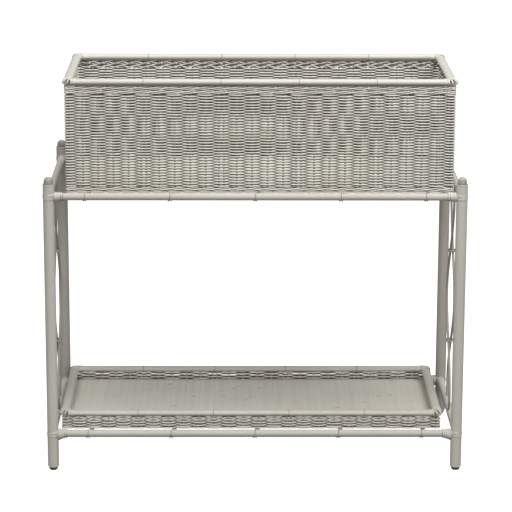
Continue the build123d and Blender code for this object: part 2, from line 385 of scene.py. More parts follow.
# %% Wrapped poles


def start_line(at):
    """One point in edit mode, ready to be extruded into a profile."""
    nothing_selected()
    bpy.ops.mesh.primitive_plane_add(size=0.01)
    bpy.ops.object.mode_set(mode="EDIT")
    bpy.ops.mesh.merge(type="CENTER")
    bpy.ops.transform.translate(value=at)
    return bpy.context.object


def line_to(step):
    """Extrudes the selected point by one step."""
    bpy.ops.mesh.extrude_vertices_move(MESH_OT_extrude_verts_indiv={}, TRANSFORM_OT_translate={"value": step})


def wrapped_pole(radius, cane, length, seam, steps=20):
    """A pole along Z, from 0 to length, wound with flat cane of that width."""
    pole = start_line((radius - seam, 0, -2 * cane))
    line_to((seam, 0, 0.12 * cane))
    line_to((0, 0, 0.76 * cane))
    line_to((-seam, 0, 0.12 * cane))
    bpy.ops.object.mode_set(mode="OBJECT")
    applied(pole, "SCREW", axis="Z", screw_offset=cane, iterations=math.ceil(length / cane) + 3,
            steps=steps, render_steps=steps, use_merge_vertices=True, merge_threshold=0.01 * mm)
    for height, outward in ((0, -1), (length, 1)):
        bpy.ops.object.mode_set(mode="EDIT")
        bpy.ops.mesh.select_all(action="SELECT")
        bpy.ops.mesh.remove_doubles(threshold=0.005 * mm)
        bpy.ops.mesh.bisect(plane_co=(0, 0, height), plane_no=(0, 0, outward), use_fill=True,
                            clear_outer=True)
        bpy.ops.object.mode_set(mode="OBJECT")
    return pole


def uneven(piece, reach, size, axis="NORMAL"):
    """The slight unevenness of hand work: a soft noise moves the surface by up to reach."""
    texture = bpy.data.textures.new(f"{piece.name}_unevenness", "CLOUDS")
    texture.noise_scale = size
    texture.noise_depth = 1
    return applied(piece, "DISPLACE", texture=texture, texture_coords="LOCAL", direction=axis,
                   strength=2 * reach, mid_level=0.5)


leg_cane = 5.2 * mm
# The rear legs take a darker copy of the paint than the front ones: painted shade, as they stand back from
# the light.
leg_paint = {"front": painted("paint_on_front_legs", along="Z", shade=0.95),
             "rear": painted("paint_on_rear_legs", along="Z", shade=0.8)}
for corner, at in leg_at.items():
    low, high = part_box(f"leg_wrap_{corner}")
    pole = wrapped_pole(leg_radius, leg_cane, high.z - low.z - 2 * mm, 0.16 * mm, steps=24)
    place(pole, (at.x, at.y, low.z))
    finished(pole, f"leg_cane_{corner}", leg_paint[corner.split("_")[0]], "painted_cane", "stand",
             f"leg_wrap_{corner}")

rail_cane = 4.0 * mm
# The side rails take a lighter copy of the paint, painted light where their tops catch the light from above,
# and painted shade on their undersides.
side_rail_paint = painted("paint_on_side_rails", along="Y", shade=1.18, under=0.4)
for level in levels:
    for side in ("front", "rear"):
        node = f"{level}_{side}_rail"
        low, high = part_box(node)
        pole = wrapped_pole(rail_radius, rail_cane, high.x - low.x, 0.1 * mm)
        place(pole, (low.x, middle(node).y, middle(node).z), turn=(0, quarter_turn, 0))
        finished(pole, f"{node}_cane", paints["X"], "painted_cane", "stand", node)
    for side in ("left", "right"):
        node = f"{level}_{side}_rail"
        low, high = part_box(node)
        pole = wrapped_pole(rail_radius, rail_cane, high.y - low.y, 0.1 * mm)
        place(pole, (middle(node).x, high.y, middle(node).z), turn=(quarter_turn, 0, 0))
        finished(pole, f"{node}_cane", side_rail_paint, "painted_cane", "stand", node)

# %% [markdown]
# ## Weaving
# The walls are plain weave, which a basket maker calls randing: each strand goes in front of
# one stake and behind the next, and the strand above does the opposite. A picture of a weave
# would look flat from the side, and so would a bumped surface, so every strand is real. A
# small six-sided ring is extruded from stake to stake along the wall, swinging out and in,
# and spun round the corner posts. Six such strands, each a little uneven, are stacked up the
# wall by an Array, so a wall of sixty-six strands costs only six to make.
#
# All walls are woven alike along X, with the outside towards -Y, and then turned to their
# side of the box.

# %% Weaving
stake_radius = 2.0 * mm
corner_post_radius = 2.4 * mm
stakes_per_bay = 5
rings_per_stake = 8


def stake_line(boundaries):
    """Where the stakes stand along a wall, from corner post to corner post."""
    places = [boundaries[0]]
    for start, end in zip(boundaries, boundaries[1:]):
        places += [start + (end - start) * n / stakes_per_bay for n in range(1, stakes_per_bay + 1)]
    return places


def strand_end(sides, radius, at, turn=0.0):
    """A small filled ring in edit mode. It faces along X, turned about Z."""
    nothing_selected()
    bpy.ops.mesh.primitive_circle_add(vertices=sides, radius=radius, fill_type="NGON", location=at,
                                      rotation=(0, quarter_turn, turn))
    bpy.ops.object.mode_set(mode="EDIT")
    return bpy.context.object


def grow(step):
    """Extrudes the end of the strand by one step."""
    bpy.ops.mesh.extrude_region_move(TRANSFORM_OT_translate={"value": step})


def grow_along(points, start):
    """Extrudes the end of the strand from point to point."""
    last = Vector(start)
    for point in points:
        grow(Vector(point) - last)
        last = Vector(point)
    return last


def round_post(centre, steps=4):
    """Spins the end of the strand a quarter turn to the left about a standing axis."""
    bpy.ops.mesh.spin(steps=steps, angle=-quarter_turn, center=centre, axis=(0, 0, 1))


def woven_strand(stakes, outside, radius, swing, height, dice, sides=6, rings=rings_per_stake, turns=False,
                 wobble=0.2 * mm, sag=0.0):
    """One strand of plain weave between the corner posts at stakes[0] and stakes[-1].

    outside says if it passes outside the first post. With turns it also goes round both.
    sag is how much lower it hangs where it passes outside a stake.
    """
    length = stakes[-1]
    wrap = corner_post_radius + radius
    tuck = swing + 2 * mm
    ends_outside = outside == (len(stakes) % 2 == 1)
    start = (0, -wrap, height) if outside else (tuck, swing, height)
    if turns:
        ring_at = (-wrap, 0, height) if outside else (swing, tuck, height)
        strand = strand_end(sides, radius, ring_at, quarter_turn)
        round_post((0, 0, 0) if outside else (tuck, tuck, 0))
    else:
        strand = strand_end(sides, radius, start)
    lifts = [dice.uniform(-wobble, wobble) for _ in stakes]
    swings = [swing * dice.uniform(0.94, 1.06) for _ in stakes]
    lifts[0] = lifts[-1] = 0
    swings[0] = swings[-1] = swing
    points = []
    for k in range(len(stakes) - 1):
        for j in range(rings):
            part = j / rings
            along = stakes[k] + (stakes[k + 1] - stakes[k]) * part
            if along <= start[0] + 0.5 * mm or along >= length - (0 if ends_outside else tuck) - 0.5 * mm:
                continue
            turn = math.cos(math.pi * (k + part)) * (1 if outside else -1)
            wave = math.tanh(2.3 * turn) / math.tanh(2.3)
            reach = swings[k] + (swings[k + 1] - swings[k]) * part
            lift = lifts[k] + (lifts[k + 1] - lifts[k]) * part
            points.append((along, -reach * wave, height + lift - sag * turn))
    finish = (length, -wrap, height) if ends_outside else (length - tuck, swing, height)
    grow_along(points + [finish], start)
    if turns:
        round_post((length, 0, 0) if ends_outside else (length - tuck, tuck, 0))
    bpy.ops.object.mode_set(mode="OBJECT")
    only(strand)
    bpy.ops.object.transform_apply(location=True, rotation=True, scale=True)
    return strand


def half_lengths(prefix):
    """Half of the length and width between a box's corner posts."""
    half = half_size(f"{prefix}_posts")
    return half.x - corner_post_radius, half.y - corner_post_radius


bay = 143 * mm
wall_half = half_lengths("planter")
long_boundaries = [0] + [wall_half[0] + bay * n for n in (-1.5, -0.5, 0.5, 1.5)] + [2 * wall_half[0]]
side_boundaries = [0, wall_half[1], 2 * wall_half[1]]
long_stakes = stake_line(long_boundaries)
side_stakes = stake_line(side_boundaries)
stake_pitch = long_stakes[8] - long_stakes[7]
print("stakes along the front:", len(long_stakes), "pitch", round(stake_pitch / mm, 2), "mm")


def to_side(piece, prefix, side):
    """Turns and moves a wall that was made along X to its side of a box."""
    centre = middle(f"{prefix}_posts")
    half_x, half_y = half_lengths(prefix)
    turns = {"front": 0, "right": 1, "rear": 2, "left": 3}[side]
    start = {"front": (-half_x, -half_y), "right": (half_x, -half_y),
             "rear": (half_x, half_y), "left": (-half_x, half_y)}[side]
    return place(piece, (centre.x + start[0], start[1], 0), turn=(0, 0, turns * quarter_turn))


# %% [markdown]
# ## The box's walls
# The front and rear walls are the same mesh turned round, but the count of stakes is odd, so
# on the rear each strand changes places with its neighbour to keep the weave going round the
# corners. The same holds for the left and right walls.

# %% The box's walls
strand_radius = 1.55 * mm
strand_pitch = 2.62 * mm
swing = stake_radius + 0.85 * strand_radius
variants = 6
stacks = 11
post_low, post_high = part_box("planter_posts")
weave_bottom = post_low.z + 13.2 * mm
dice = random.Random(7)


def wall_paint(prefix, side):
    """The weave's paint for one side of a box: lighter, as painted highlight, and painted shade between the
    strands.
    """
    axis, along = ("Y", "X") if side in ("front", "rear") else ("X", "Y")
    outward = {"front": -1, "rear": 1, "left": -1, "right": 1}[side]
    centre = middle(f"{prefix}_posts")["XY".index(axis)] + outward * half_lengths(prefix)["XY".index(axis)]
    return painted(f"paint_{prefix}_{side}", along=along, shade=1.40, streak=0.5, under=0.92,
                   depth=(axis, centre, swing + 0.5 * strand_radius))


def stacked(strands, swap):
    """Strands one above the other, repeated up the wall. swap makes neighbours change places."""
    copies = [copy_of(strand) for strand in strands]
    for n, strand in enumerate(copies):
        if swap:
            place(strand, (0, 0, strand_pitch if n % 2 == 0 else -strand_pitch))
    wall = joined(copies)
    return applied(wall, "ARRAY", use_relative_offset=False, use_constant_offset=True,
                   constant_offset_displace=(0, 0, variants * strand_pitch), count=stacks)


walls, weave_paint = {}, {}
for stakes, sides, turns in ((long_stakes, ("front", "rear"), True), (side_stakes, ("left", "right"), False)):
    strands = [woven_strand(stakes, n % 2 == 0, strand_radius, swing, weave_bottom + n * strand_pitch,
                            dice, turns=turns, sag=0.3 * mm) for n in range(variants)]
    for side in sides:
        wall = stacked(strands, swap=side in ("rear", "right"))
        walls[side] = to_side(wall, "planter", side)
    for strand in strands:
        bpy.data.objects.remove(strand)

for side, wall in walls.items():
    uneven(wall, 0.4 * mm, 45 * mm, "Z")
    weave_paint[f"planter_{side}"] = wall_paint("planter", side)
    finished(wall, f"planter_weave_{side}", weave_paint[f"planter_{side}"], "painted_reed", "planter",
             f"planter_wall_{side}", crease=75)

# %% [markdown]
# ## The wales
# Below the rim and at the foot of the box run bands of waling. A wale strand is thicker than
# a weaver. It goes in front of two stakes and behind one, climbing as it goes, and three of
# them chase each other a stake apart, so the band looks like a flat rope. The strands are
# extruded from stake to stake as the weavers were, only along another path. A pair of plain
# strands closes the wall above the top wale and below the foot one.

# %% The wales
wale_radius = 1.5 * mm
wale_rise = 6.8 * mm
wale_swing = stake_radius + 0.95 * wale_radius
wale_columns = {"front": 0, "right": 25, "rear": 35, "left": 60}


def wale_strand(stakes, first, offset, height, turns, radius=wale_radius, rings=6):
    """One strand of a three-strand wale; first is how many stakes the band has passed already."""
    length = stakes[-1]
    wrap = corner_post_radius + radius
    columns = len(stakes) - 1

    def step(count):
        """How far out of the wall and how high the strand is after that many stakes."""
        phase = (first + count - offset - 0.5) % 3
        if phase < 2:
            out, lift = math.sin(math.pi * phase / 2) ** 0.6, wale_rise * phase / 2
        else:
            out, lift = -0.95 * math.sin(math.pi * (phase - 2)) ** 0.6, wale_rise * (3 - phase)
        corner = max(0.0, 1 - min(count, columns - count) / 0.7)
        return -(out * wale_swing * (1 - corner) + wrap * corner), height + lift

    start_height, end_height = step(0)[1], step(columns)[1]
    if turns:
        strand = strand_end(8, radius, (-wrap, 0, start_height), quarter_turn)
        round_post((0, 0, 0))
    else:
        strand = strand_end(8, radius, (0, -wrap, start_height))
    points = []
    for k in range(columns):
        for j in range(rings):
            if k + j:
                part = j / rings
                along = stakes[k] + (stakes[k + 1] - stakes[k]) * part
                points.append((along, *step(k + part)))
    grow_along(points + [(length, -wrap, end_height)], (0, -wrap, start_height))
    if turns:
        round_post((length, 0, 0))
    bpy.ops.object.mode_set(mode="OBJECT")
    only(strand)
    bpy.ops.object.transform_apply(location=True, rotation=True, scale=True)
    return strand


def wale(prefix, heights, name):
    """Bands of waling round a box, one band at each height, a piece to each side."""
    for side, first in wale_columns.items():
        long_side = side in ("front", "rear")
        stakes = long_stakes if long_side else side_stakes
        strands = joined([wale_strand(stakes, first, n, 0, long_side) for n in range(3)])
        bands = [to_side(place(copy_of(strands), (0, 0, height)), prefix, side) for height in heights]
        bpy.data.objects.remove(strands)
        band = uneven(joined(bands), 0.3 * mm, 30 * mm, "Z")
        finished(band, f"{name}_{side}", weave_paint[f"{prefix}_{side}"], "painted_reed", prefix, crease=75)


def crossing_pair(side, height, radius):
    """Two strands at one height, which cross between each stake and the next."""
    long_side = side in ("front", "rear")
    return [woven_strand(long_stakes if long_side else side_stakes, outside, radius, swing, height, dice,
                         turns=long_side, wobble=0.0) for outside in (True, False)]


wale("planter", [post_low.z + 3.6 * mm], "planter_foot_wale")
wale("planter", [post_high.z - 16.0 * mm, post_high.z - 8.5 * mm], "planter_top_wale")
# The crossing pair under the rim takes a dark copy of the paint: painted shade for the shadow under the rim.
under_rim_shade_paint = painted("painted_shade_under_the_rim", along="X", shade=0.5, under=0.9)
for side in wale_columns:
    pair = to_side(joined(crossing_pair(side, post_low.z + 1.6 * mm, 1.5 * mm)), "planter", side)
    finished(pair, f"planter_foot_pair_{side}", weave_paint[f"planter_{side}"], "painted_reed",
             "planter", crease=75)
    pair = to_side(joined(crossing_pair(side, post_high.z - 1.2 * mm, 1.3 * mm)), "planter", side)
    finished(pair, f"planter_top_pair_{side}", under_rim_shade_paint, "painted_reed", "planter", crease=75)

# %% [markdown]
# ## Stakes
# The uprights that the strands weave round: one in the middle of each column, a pair where
# two bays meet, and a stouter one at each corner. Each is a cut stem, never quite straight,
# so its ring is extruded upwards in short steps that wander a little.

# %% Stakes


def stake(at, low, high, radius, steps=6, wander=0.15 * mm):
    """One upright stem."""
    nothing_selected()
    bpy.ops.mesh.primitive_circle_add(vertices=8, radius=radius, fill_type="NGON", location=(*at, low))
    bpy.ops.object.mode_set(mode="EDIT")
    drift = (0, 0)
    for n in range(steps):
        aim = (dice.uniform(-wander, wander), dice.uniform(-wander, wander))
        grow((aim[0] - drift[0], aim[1] - drift[1], (high - low) / steps))
        drift = aim
    bpy.ops.object.mode_set(mode="OBJECT")
    return bpy.context.object


def stakes_of(prefix, radius, name, paint):
    """All the uprights of a box."""
    low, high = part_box(f"{prefix}_posts")
    centre, (half_x, half_y) = middle(f"{prefix}_posts"), half_lengths(prefix)
    pair = 4.6 * mm
    places = []
    for line, half, other, swapped in ((long_stakes, half_x, half_y, False),
                                       (side_stakes, half_y, half_x, True)):
        for k in range(1, len(line) - 1):
            steps = (-pair, pair) if k % stakes_per_bay == 0 else (0,)
            for step in steps:
                for side in (-1, 1):
                    spot = (line[k] - half + step, side * other)
                    places.append(spot[::-1] if swapped else spot)
    stems = [stake((centre.x + x, y), low.z, high.z + 1.0 * mm, radius) for x, y in places]
    stems += [stake((centre.x + x * half_x, y * half_y), low.z, high.z + 1.5 * mm, corner_post_radius)
              for x, y in corners.values()]
    return finished(joined(stems), name, paint, "painted_reed", prefix, f"{prefix}_posts", crease=75)


# The stakes take a dark copy of the paint: painted shade for the shadow that the strands cast on them inside
# the wall.
stake_paint = painted("paint_on_stakes", along="Z", shade=0.42, streak=0.8)
stakes_of("planter", stake_radius, "planter_stakes", stake_paint)

# %% [markdown]
# ## The tray's low gallery
# The tray is woven like the box, but by a quicker hand: the strands sit lower in the middle,
# wander more, and leave small eyes under the rim. There are only seven rows above the
# crossing pair at the foot, so each is made for itself instead of by an Array.

# %% The tray's low gallery
tray_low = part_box("tray_posts")[0]
gallery_steps = (4.2, 6.8, 9.4, 12.2, 15.2, 18.4, 21.4)
gallery_radius = 1.45 * mm
for side in ("front", "right", "rear", "left"):
    long_side = side in ("front", "rear")
    swap = side in ("rear", "right")
    rows = [woven_strand(long_stakes if long_side else side_stakes, (n % 2 == 0) != swap, gallery_radius,
                         swing, tray_low.z + step * mm, dice, sides=8, turns=long_side, wobble=0.5 * mm,
                         sag=1.1 * mm * min(1, n / 3 + 0.3))
            for n, step in enumerate(gallery_steps)]
    rows += crossing_pair(side, tray_low.z + 1.5 * mm, 1.4 * mm)
    gallery = to_side(joined(rows), "tray", side)
    uneven(gallery, 0.3 * mm, 25 * mm, "Z")
    finished(gallery, f"tray_weave_{side}", wall_paint("tray", side), "painted_reed", "tray",
             f"tray_gallery_{side}", crease=75)
# The tray's stakes take a darker copy of the paint, with darkened undersides: painted shade inside the
# gallery.
stakes_of("tray", 1.5 * mm, "tray_stakes", painted("paint_on_tray_stakes", along="Z", shade=0.8, under=0.5))

# %% [markdown]
# ## Rims
# A flat oval pole runs round the top of each box, mitred at the corners, with the outer
# corners rubbed round. An oval ring is extruded along each side, the ends are cut at
# forty-five degrees with Bisect, the four are merged into one loop, and the outer edge of
# each mitre is rounded with Bevel.

# %% Rims


def rim_pole(length, half_w, half_h, pieces):
    """An oval pole along X, from 0 to length, with mitred ends. Its outer side is -Y."""
    nothing_selected()
    bpy.ops.mesh.primitive_circle_add(vertices=24, radius=1, location=(-half_w, 0, 0),
                                      rotation=(0, quarter_turn, 0), fill_type="NOTHING")
    bpy.ops.object.mode_set(mode="EDIT")
    bpy.ops.transform.resize(value=(1, half_w, half_h))
    for n in range(pieces):
        grow(((length + 2 * half_w) / pieces, 0, 0))
    for cut, outward in ((0, (-1, -1, 0)), (length, (1, -1, 0))):
        bpy.ops.mesh.select_all(action="SELECT")
        bpy.ops.mesh.bisect(plane_co=(cut, 0, 0), plane_no=outward, clear_outer=True)
    bpy.ops.object.mode_set(mode="OBJECT")
    return bpy.context.object


def choose_edges(piece, wanted):
    """Selects, in edit mode, the edges whose middle passes the test."""
    only(piece)
    bpy.ops.object.mode_set(mode="EDIT")
    bpy.ops.mesh.select_mode(type="EDGE")
    bpy.ops.mesh.select_all(action="DESELECT")
    bpy.ops.object.mode_set(mode="OBJECT")
    points = [v.co for v in piece.data.vertices]
    for edge in piece.data.edges:
        edge.select = wanted(points[edge.vertices[0]], points[edge.vertices[1]])
    bpy.ops.object.mode_set(mode="EDIT")


def rim_loop(prefix):
    """The rim of a box, made in place, as one loop of four mitred poles."""
    half_w, half_h = rim_half[prefix]
    centre = middle(f"{prefix}_rim_front")
    half_x = half_size(f"{prefix}_rim_front").x - half_w
    half_y = middle(f"{prefix}_rim_rear").y
    poles = []
    for turns, (x, y, length) in enumerate(((-half_x, -half_y, 2 * half_x), (half_x, -half_y, 2 * half_y),
                                            (half_x, half_y, 2 * half_x), (-half_x, half_y, 2 * half_y))):
        pole = rim_pole(length, half_w, half_h, pieces=round(length / (12 * mm)))
        poles.append(place(pole, (centre.x + x, y, centre.z), turn=(0, 0, turns * quarter_turn)))
    loop = joined(poles)
    only(loop)
    bpy.ops.object.mode_set(mode="EDIT")
    bpy.ops.mesh.select_all(action="SELECT")
    bpy.ops.mesh.remove_doubles(threshold=0.02 * mm)
    bpy.ops.object.mode_set(mode="OBJECT")

    def on_outer_mitre(a, b):
        reach = [(abs(p.x - centre.x) - half_x, abs(p.y) - half_y) for p in (a, b)]
        return all(abs(u - v) < 0.05 * mm and u > 0.12 * half_w for u, v in reach)

    choose_edges(loop, on_outer_mitre)
    bpy.ops.mesh.bevel(offset=6 * mm, segments=4, profile=0.5, affect="EDGES")
    bpy.ops.mesh.select_mode(type="VERT")
    bpy.ops.object.mode_set(mode="OBJECT")
    return loop


# The rims' paint, with painted shade on their undersides.
rim_paint = painted("paint_on_rims", along="X", shade=0.98, streak=0.7, under=0.45, rough=(0.36, 0.55))
for prefix in ("planter", "tray"):
    loop = uneven(rim_loop(prefix), 0.22 * mm, 45 * mm)
    finished(loop, f"{prefix}_rim", rim_paint, "painted_dowel", prefix,
             *[f"{prefix}_rim_{side}" for side in ("front", "rear", "left", "right")], crease=50)

# %% [markdown]
# ## Bands of cane
# Flat cane holds the frame together: turns round the rim's corners, and straps where a rail
# meets a leg. All are short oval bands. Each starts as an open cylinder, stretched to the
# oval it goes round, given the cane's thickness by Solidify and soft edges by Bevel.

# %% Bands of cane


def band(half_y, half_z, width, thickness=0.8 * mm, sides=28):
    """A band round the X axis, for a pole of that half width and height."""
    nothing_selected()
    bpy.ops.mesh.primitive_cylinder_add(vertices=sides, radius=1, depth=width, end_fill_type="NOTHING",
                                        rotation=(0, quarter_turn, 0))
    bpy.ops.object.mode_set(mode="EDIT")
    bpy.ops.transform.resize(value=(1, half_y, half_z))
    bpy.ops.object.mode_set(mode="OBJECT")
    strap = bpy.context.object
    applied(strap, "SOLIDIFY", thickness=thickness, offset=1)
    return applied(strap, "BEVEL", width=0.3 * thickness, segments=2, limit_method="ANGLE")


def corner_wraps(prefix):
    """The cane turns that bind each corner of a rim: two along each pole and one across the mitre."""
    half_w, half_h = rim_half[prefix]
    centre = middle(f"{prefix}_rim_front")
    half_x = half_size(f"{prefix}_rim_front").x - half_w
    half_y = middle(f"{prefix}_rim_rear").y
    turns = []
    for side_x, side_y in corners.values():
        corner = Vector((centre.x + side_x * half_x, side_y * half_y, centre.z))
        inward_x, inward_y = Vector((-side_x, 0, 0)), Vector((0, -side_y, 0))
        across = band(1.26 * half_w, half_h + 0.05 * mm, 3.4 * mm)
        lean = side_x * side_y * quarter_turn / 2
        turns.append(place(across, corner + (inward_x + inward_y) * 1.3 * mm, turn=(0, 0, -lean)))
        for distance, tilt in ((6.5 * mm, 34), (10.8 * mm, 22), (15 * mm, 10)):
            slant = math.radians(tilt)
            for along, heading in ((inward_x, 0), (inward_y, quarter_turn)):
                strap = band((half_w + 0.1 * mm) / math.cos(slant), half_h + 0.1 * mm, 3.0 * mm)
                sign = -side_x * side_y if heading == 0 else side_x * side_y
                turns.append(place(strap, corner + along * distance, turn=(0, 0, heading + sign * slant)))
    return finished(joined(turns), f"{prefix}_corner_canes", wrap_paint, "painted_cane", prefix,
                    f"{prefix}_corner_bindings")


# The corner wraps take a lighter copy of the paint, as painted light, with painted shade on their undersides.
wrap_paint = painted("paint_on_corner_wraps", along="Z", shade=1.1, under=0.6)
for prefix in ("planter", "tray"):
    corner_wraps(prefix)

# %% [markdown]
# ## Ties
# Where two bays meet, and where a rung crosses a rail, a thin cane is drawn round the pole
# and knotted. A tie is a thin ring, a torus stretched to the pole's section and tilted a
# little, with two short tapered ends below it on the rails, extruded from small circles.

# %% Ties


def tie_ring(half_y, half_z, radius, tilt):
    """A thin cane ring round the X axis."""
    nothing_selected()
    bpy.ops.mesh.primitive_torus_add(major_segments=28, minor_segments=8, major_radius=half_z + 0.5 * radius,
                                     minor_radius=radius, rotation=(0, quarter_turn, 0))
    ring = bpy.context.object
    wider = (half_y + 0.5 * radius) / (half_z + 0.5 * radius)
    return place(place(ring, size=(1, wider, 1)), turn=(0, tilt, tilt / 2))


def knot_end(at, radius, length, lean):
    """A short tapered end of cane that hangs from a tie."""
    nothing_selected()
    bpy.ops.mesh.primitive_circle_add(vertices=8, radius=radius, fill_type="NGON", location=at)
    bpy.ops.object.mode_set(mode="EDIT")
    for share, narrow in ((0.5, 0.95), (0.35, 0.75), (0.15, 0.5)):
        grow((lean * share, 0, -length * share))
        bpy.ops.transform.resize(value=(narrow, narrow, 1), center_override=end_middle())
    bpy.ops.object.mode_set(mode="OBJECT")
    return bpy.context.object


def end_middle():
    """The middle of what is selected in edit mode."""
    piece = bpy.context.object
    piece.update_from_editmode()
    chosen = [piece.matrix_world @ v.co for v in piece.data.vertices if v.select]
    return sum(chosen, Vector()) / len(chosen)


def rim_ties(prefix):
    """A thin tie round the rim at each bay."""
    half_w, half_h = rim_half[prefix]
    centre = middle(f"{prefix}_rim_front")
    half_y = middle(f"{prefix}_rim_rear").y
    rings = []
    for n in (-1.5, -0.5, 0.5, 1.5):
        for side in (-1, 1):
            ring = tie_ring(half_w, half_h, 0.6 * mm, dice.uniform(-0.06, 0.06))
            rings.append(place(ring, (centre.x + n * bay, side * half_y, centre.z)))
    return finished(joined(rings), f"{prefix}_rim_ties", tie_paint, "painted_cane", prefix)


def rail_ties(level):
    """The ties that hold the rungs to the front and rear rails."""
    parts = []
    for side in ("front", "rear"):
        at = middle(f"{level}_{side}_rail")
        for x in tie_places:
            tilt = dice.uniform(-0.12, 0.12)
            ring = tie_ring(rail_radius, rail_radius, 0.75 * mm, tilt)
            parts.append(place(ring, (x, at.y, at.z)))
            for step in (-2.0 * mm, 2.2 * mm):
                parts.append(knot_end((x + step, at.y, at.z - rail_radius + 0.8 * mm), 1.15 * mm, 3.4 * mm,
                                      0.25 * step))
    return finished(joined(parts), f"{level}_tie_canes", tie_paint, "painted_cane", "stand",
                    f"{level}_rail_ties")


# The ties take a dark copy of the paint: painted shade for the shadow in the notches round them, with more
# painted shade on their undersides.
tie_paint = painted("paint_on_ties", along="Z", shade=0.55, streak=0.8, under=0.6)
for prefix in ("planter", "tray"):
    rim_ties(prefix)
for level in levels:
    rail_ties(level)

# %% [markdown]
# ## Joint bindings
# Where the rails meet a leg, cane is wound along each rail in turns that swell towards the
# leg, and two straps cross round the leg itself. The winding is a ring extruded towards the
# leg and resized at every step, so that each turn has its own crown and seam. It sags below
# the rail at the leg, as the real lashing does.

# %% Joint bindings
flare_reach = 16 * mm
flare_turns = 4
leg_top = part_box("leg_wrap_front_left")[1].z


def flare(start, heading, low, high):
    """A winding round a rail from start towards the leg, which grows by low below and high above."""
    nothing_selected()
    turn = 0 if heading.x else quarter_turn
    bpy.ops.mesh.primitive_circle_add(vertices=20, radius=rail_radius + 0.1 * mm, fill_type="NGON",
                                      location=start, rotation=(0, quarter_turn, turn))
    bpy.ops.object.mode_set(mode="EDIT")
    across = Vector((0, 1, 0)) if heading.x else Vector((1, 0, 0))
    radius, drop = rail_radius + 0.1 * mm, 0.0
    for n in range(flare_turns):
        grown = ((n + 1) / flare_turns) ** 1.6
        seat = rail_radius + 0.5 * mm + (low + high) / 2 * grown
        sag = (low - high) / 2 * grown
        for travel, size in ((0.12, seat + 0.7 * mm), (0.62, seat + 0.8 * mm),
                             (0.12, seat), (0.14, seat - 0.2 * mm)):
            grow(heading * flare_reach / flare_turns * travel - Vector((0, 0, (sag - drop) * travel)))
            grow_by = size / radius
            sideways = 1 + (grow_by - 1) * 0.45
            bpy.ops.transform.resize(value=[sideways if a else 1 for a in across[:2]] + [grow_by],
                                     center_override=end_middle())
            radius = size
        drop = sag
    bpy.ops.object.mode_set(mode="OBJECT")
    return bpy.context.object


def joint_bindings(level, low, high):
    """The cane at the four joints of one level."""
    parts = []
    for corner, (side_x, side_y) in corners.items():
        at = Vector((leg_at[corner].x, leg_at[corner].y, rail_height[level]))
        ring = tie_ring(leg_radius - 0.75 * mm, leg_radius - 0.75 * mm, 0.85 * mm, 0)
        if level == "upper":
            parts.append(place(place(ring, turn=(0, quarter_turn, 0)), (at.x, at.y, leg_top - 2.2 * mm)))
        else:
            bpy.data.objects.remove(ring)
        for heading in (Vector((side_x, 0, 0)), Vector((0, side_y, 0))):
            start = at - heading * (leg_radius + flare_reach)
            parts.append(flare(start, heading, low, high))
        for tilt, lift in ((13, 2.5 * mm), (-13, -2.5 * mm)):
            lean = math.radians(tilt)
            strap = band(leg_radius + 0.05 * mm, leg_radius + 0.05 * mm, 5 * mm, thickness=0.65 * mm)
            strap = place(strap, turn=(0, quarter_turn, 0))
            parts.append(place(strap, at + Vector((0, 0, lift)), turn=(0, lean * side_x, 0)))
    return finished(joined(parts), f"{level}_binding_canes", binding_paint, "painted_cane", "stand",
                    f"{level}_joint_bindings")


# The bindings take a slightly lighter copy of the paint, as painted light, with painted shade on their
# undersides.
binding_paint = painted("paint_on_bindings", along="Z", shade=1.05, under=0.6)
joint_bindings("upper", 1.2 * mm, 0.8 * mm)
joint_bindings("lower", 5.2 * mm, 0.8 * mm)

# %% [markdown]
# ## Painted shade in the joints
# A dark line fills the gap under each leg's dome and the first seams of the winding on the
# front and rear rails: painted shade for the shadow in these gaps. Thin dark rings stand for it,
# each a sliver proud of the seam.

# %% Painted shade in the joints
gap_paint = painted("painted_shade_in_the_joints", along="Z", shade=0.18)
gaps = []
for corner, (side_x, side_y) in corners.items():
    at = leg_at[corner]
    dark = tie_ring(leg_radius - 1.9 * mm, leg_radius - 1.9 * mm, 0.5 * mm, 0)
    gaps.append(place(place(dark, turn=(0, quarter_turn, 0)), (at.x, at.y, leg_top - 1.1 * mm)))
    for level in levels:
        for step in (0.0, 4.1 * mm):
            dark = tie_ring(rail_radius + 0.3 * mm, rail_radius + 0.3 * mm, 0.4 * mm, 0.05 * side_x)
            x = at.x - side_x * (leg_radius + flare_reach - step)
            gaps.append(place(dark, (x, at.y, rail_height[level])))
finished(joined(gaps), "joint_gaps", gap_paint, "painted_cane", "stand")

# %% [markdown]
# ## Floors
# The floors are woven too, but years of paint have filled them nearly level: only the crowns
# of the strands and a low ridge over each stake still show. The weave is the walls' own,
# laid flat and almost drowned in a thin skin of paint.

# %% Floors
floor_strand = 1.7 * mm
floor_pitch = 2.9 * mm
floor_rows = 8


